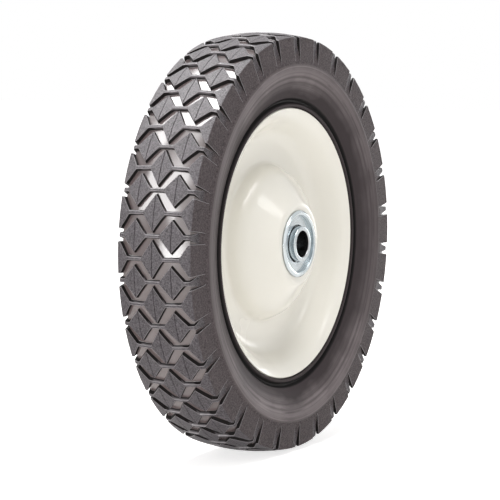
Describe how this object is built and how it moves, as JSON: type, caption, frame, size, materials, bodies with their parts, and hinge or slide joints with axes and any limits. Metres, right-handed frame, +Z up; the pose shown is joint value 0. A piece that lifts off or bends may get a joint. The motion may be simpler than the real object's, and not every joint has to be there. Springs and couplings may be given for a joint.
{
  "type": "lawn mower wheel",
  "caption": "Lawn mower wheel with a diamond tread rubber tyre on an enamelled pressed steel rim, turning on ball bearings with an axle bore.",
  "frame": {"origin": "wheel centre: on the axle's line, in the middle plane of the tyre", "axes": "+Y along the axle towards the inboard side, the side that shows in front is -Y, +Z up"},
  "size_m": [0.2032, 0.046, 0.2032],
  "materials": {
    "tyre_rubber": "moulded, satin",
    "rim_enamel": "cream gloss enamel",
    "zinc_plate": "bright zinc plate",
    "ball_steel": "polished"
  },
  "bodies": {
    "hub": {"hub_spacer": "zinc_plate", "inner_race_outboard": "zinc_plate", "inner_race_inboard": "zinc_plate"},
    "wheel": {"air_cushion_tyre": "tyre_rubber", "rim_outboard": "rim_enamel", "rim_inboard": "rim_enamel", "bearing_cup_outboard": "zinc_plate", "bearing_cup_inboard": "zinc_plate", "dust_shield_outboard": "zinc_plate", "dust_shield_inboard": "zinc_plate"},
    "balls": {"bearing_ball_01_outboard": "ball_steel", "bearing_ball_01_inboard": "ball_steel", "bearing_ball_02_outboard": "ball_steel", "bearing_ball_02_inboard": "ball_steel", "bearing_ball_03_outboard": "ball_steel", "bearing_ball_03_inboard": "ball_steel", "bearing_ball_04_outboard": "ball_steel", "bearing_ball_04_inboard": "ball_steel", "bearing_ball_05_outboard": "ball_steel", "bearing_ball_05_inboard": "ball_steel", "bearing_ball_06_outboard": "ball_steel", "bearing_ball_06_inboard": "ball_steel", "bearing_ball_07_outboard": "ball_steel", "bearing_ball_07_inboard": "ball_steel", "bearing_ball_08_outboard": "ball_steel", "bearing_ball_08_inboard": "ball_steel", "bearing_ball_09_outboard": "ball_steel", "bearing_ball_09_inboard": "ball_steel", "bearing_ball_10_outboard": "ball_steel", "bearing_ball_10_inboard": "ball_steel"}
  },
  "joints": [
    {"name": "wheel_spin", "type": "hinge", "parent": "hub", "child": "wheel", "pos_m": [0, 0, 0], "axis": [0, 1, 0], "continuous": true},
    {"name": "ball_orbit", "type": "hinge", "parent": "hub", "child": "balls", "pos_m": [0, 0, 0], "axis": [0, 1, 0], "continuous": true}
  ],
  "couplings": [
    {"joint": "ball_orbit", "follows": "wheel_spin", "ratio": 0.64399}
  ]
}
